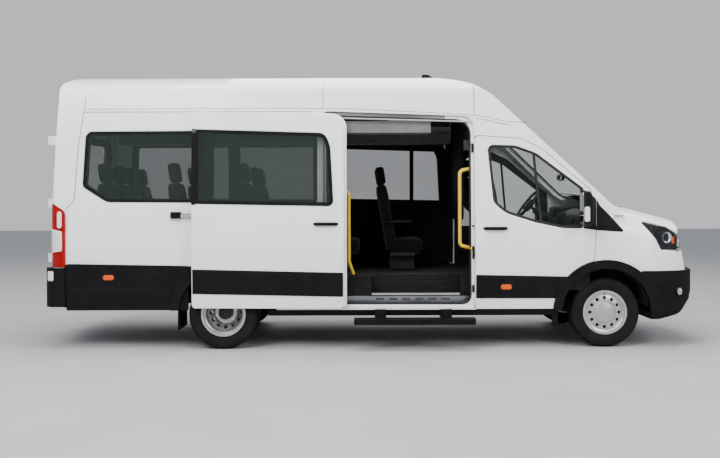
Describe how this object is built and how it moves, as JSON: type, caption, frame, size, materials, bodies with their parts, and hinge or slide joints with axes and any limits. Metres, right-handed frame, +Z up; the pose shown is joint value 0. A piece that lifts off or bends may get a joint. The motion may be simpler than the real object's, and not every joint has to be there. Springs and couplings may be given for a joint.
{
  "type": "minibus",
  "caption": "High-roof minibus with twin rear wheels, open sliding side door, hinged front doors, rear doors and bonnet, seats and grab rails.",
  "frame": {"origin": "on the ground, midway along the vehicle, on its centre plane", "axes": "+X forward, +Y to the left, +Z up"},
  "size_m": [6.703, 2.474, 2.826],
  "materials": {
    "paint": "gloss",
    "glass": "tinted",
    "black_plastic": "grained",
    "clear_lamp": "clear",
    "red_lamp": "gloss",
    "steel_dark": "satin",
    "rim_silver": "satin",
    "tyre": "matte",
    "seat_fabric": "woven",
    "lining": "matt",
    "dark_trim": "matt",
    "floor_covering": "ribbed",
    "tread_metal": "chequered",
    "rail_yellow": "gloss",
    "cast": "rough",
    "track_metal": "brushed"
  },
  "bodies": {
    "body": {"roof": "paint", "left_side": "paint", "right_side": "paint", "rear_frame": "paint", "cab_frame": "paint", "windscreen": "glass", "side_glass": "glass", "sliding_door": "paint", "sliding_door_glass": "glass", "door_tracks": "track_metal", "front_wings": "paint", "headlamps": "clear_lamp", "grille": "black_plastic", "front_bumper": "black_plastic", "rear_bumper": "black_plastic", "tail_lamps": "red_lamp", "side_cladding": "black_plastic", "floor": "floor_covering", "step_well": "tread_metal", "wheel_housings": "dark_trim", "chassis_frame": "steel_dark", "engine": "cast", "fuel_tank": "steel_dark", "front_suspension": "steel_dark", "rear_axle": "steel_dark", "passenger_seats": "seat_fabric", "cab_seats": "seat_fabric", "seat_legs": "steel_dark", "dashboard": "dark_trim", "overhead_duct": "lining", "grab_rails": "rail_yellow", "side_step": "black_plastic", "roof_pod": "black_plastic"},
    "left_door_body": {"left_door": "paint", "left_door_glass": "glass", "left_mirror": "black_plastic"},
    "right_door_body": {"right_door": "paint", "right_door_glass": "glass", "right_mirror": "black_plastic"},
    "left_rear_door_body": {"left_rear_door": "paint", "left_rear_glass": "glass"},
    "right_rear_door_body": {"right_rear_door": "paint", "right_rear_glass": "glass"},
    "bonnet_body": {"bonnet": "paint"},
    "left_knuckle_body": {"left_knuckle": "cast"},
    "right_knuckle_body": {"right_knuckle": "cast"},
    "front_left_wheel": {"front_left_rim": "rim_silver", "front_left_tyre": "tyre"},
    "front_right_wheel": {"front_right_rim": "rim_silver", "front_right_tyre": "tyre"},
    "rear_left_wheel": {"rear_left_rims": "rim_silver", "rear_left_tyres": "tyre"},
    "rear_right_wheel": {"rear_right_rims": "rim_silver", "rear_right_tyres": "tyre"},
    "steering_wheel_body": {"steering_wheel": "dark_trim"}
  },
  "joints": [
    {"name": "left_steering", "type": "hinge", "parent": "body", "child": "left_knuckle_body", "pos_m": [2.329, 0.715, 0.34], "axis": [0, 0, 1], "range_deg": [-32, 32]},
    {"name": "right_steering", "type": "hinge", "parent": "body", "child": "right_knuckle_body", "pos_m": [2.329, -0.715, 0.34], "axis": [0, 0, 1], "range_deg": [-32, 32]},
    {"name": "steering_wheel_turn", "type": "hinge", "parent": "body", "child": "steering_wheel_body", "pos_m": [1.84, 0.455, 1.408], "axis": [-0.788, 0, 0.6157], "range_deg": [-480, 480]},
    {"name": "front_left_spin", "type": "hinge", "parent": "left_knuckle_body", "child": "front_left_wheel", "pos_m": [2.329, 0.866, 0.34], "axis": [0, 1, 0], "continuous": true},
    {"name": "front_right_spin", "type": "hinge", "parent": "right_knuckle_body", "child": "front_right_wheel", "pos_m": [2.329, -0.866, 0.34], "axis": [0, 1, 0], "continuous": true},
    {"name": "rear_left_spin", "type": "hinge", "parent": "body", "child": "rear_left_wheel", "pos_m": [-1.421, 0.821, 0.34], "axis": [0, 1, 0], "continuous": true},
    {"name": "rear_right_spin", "type": "hinge", "parent": "body", "child": "rear_right_wheel", "pos_m": [-1.421, -0.821, 0.34], "axis": [0, 1, 0], "continuous": true},
    {"name": "left_door_hinge", "type": "hinge", "parent": "body", "child": "left_door_body", "pos_m": [2.231, 1.036, 1], "axis": [0, 0, -1], "range_deg": [0, 68]},
    {"name": "right_door_hinge", "type": "hinge", "parent": "body", "child": "right_door_body", "pos_m": [2.231, -1.036, 1], "axis": [0, 0, 1], "range_deg": [0, 68]},
    {"name": "left_rear_door_hinge", "type": "hinge", "parent": "body", "child": "left_rear_door_body", "pos_m": [-3.1668, 0.883, 1.4], "axis": [0, 0, -1], "range_deg": [0, 180]},
    {"name": "right_rear_door_hinge", "type": "hinge", "parent": "body", "child": "right_rear_door_body", "pos_m": [-3.1668, -0.883, 1.4], "axis": [0, 0, 1], "range_deg": [0, 180]},
    {"name": "bonnet_hinge", "type": "hinge", "parent": "body", "child": "bonnet_body", "pos_m": [2.594, 0, 1.403], "axis": [0, -1, 0], "range_deg": [0, 55]}
  ],
  "couplings": [
    {"joint": "right_steering", "follows": "left_steering", "ratio": 1},
    {"joint": "steering_wheel_turn", "follows": "left_steering", "ratio": 15}
  ]
}
